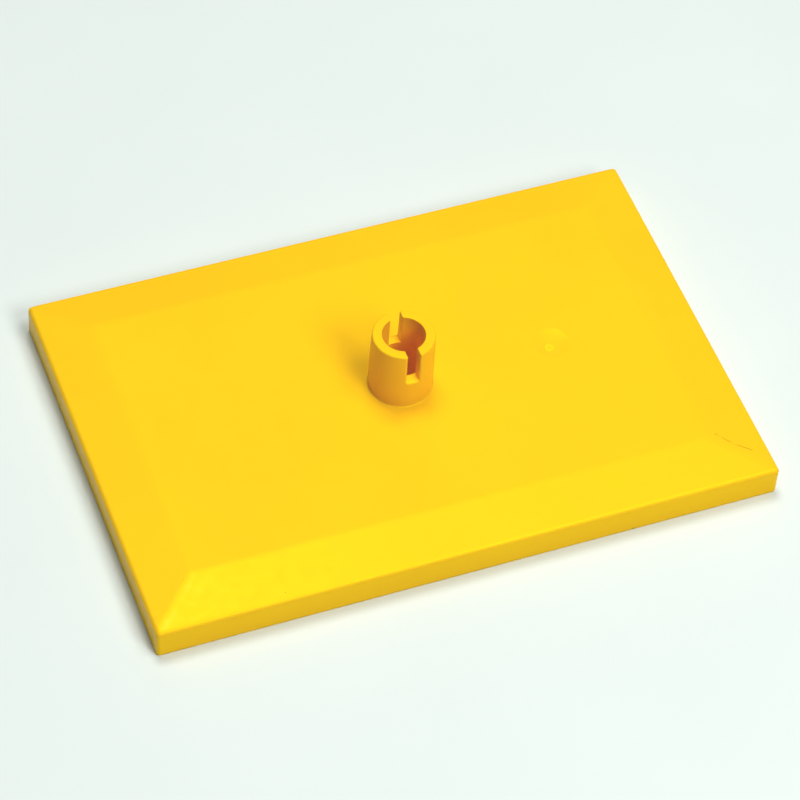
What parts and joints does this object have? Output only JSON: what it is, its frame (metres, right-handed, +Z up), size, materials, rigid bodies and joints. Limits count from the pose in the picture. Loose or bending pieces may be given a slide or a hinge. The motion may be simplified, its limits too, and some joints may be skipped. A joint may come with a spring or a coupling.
{
  "type": "toy train bogie plate",
  "caption": "Flat yellow plate with bevelled edges, a split hollow swivel pin standing on its centre and clutch tubes underneath, for carrying toy train wheels.",
  "frame": {"origin": "on the pin's axis, in the plane the skirt rests on", "axes": "+Z up along the pin, +X along the plate's long side, +Y across it"},
  "size_m": [0.0478, 0.0318, 0.0086],
  "materials": {
    "yellow_abs": "bright yellow ABS, satin to gloss as moulded, lightly worn"
  },
  "bodies": {
    "plate": {"deck_plate": "yellow_abs", "pin_root": "yellow_abs", "underside_tubes": "yellow_abs"},
    "pin_half_left": {"pin_half_left": "yellow_abs"},
    "pin_half_right": {"pin_half_right": "yellow_abs"}
  },
  "joints": [
    {"name": "left_half_flex", "type": "hinge", "parent": "plate", "child": "pin_half_left", "pos_m": [-0.00047, 0, 0.0058], "axis": [0, 1, 0], "range_deg": [0, 1.5]},
    {"name": "right_half_flex", "type": "hinge", "parent": "plate", "child": "pin_half_right", "pos_m": [0.00047, 0, 0.0058], "axis": [0, -1, 0], "range_deg": [0, 1.5]}
  ]
}
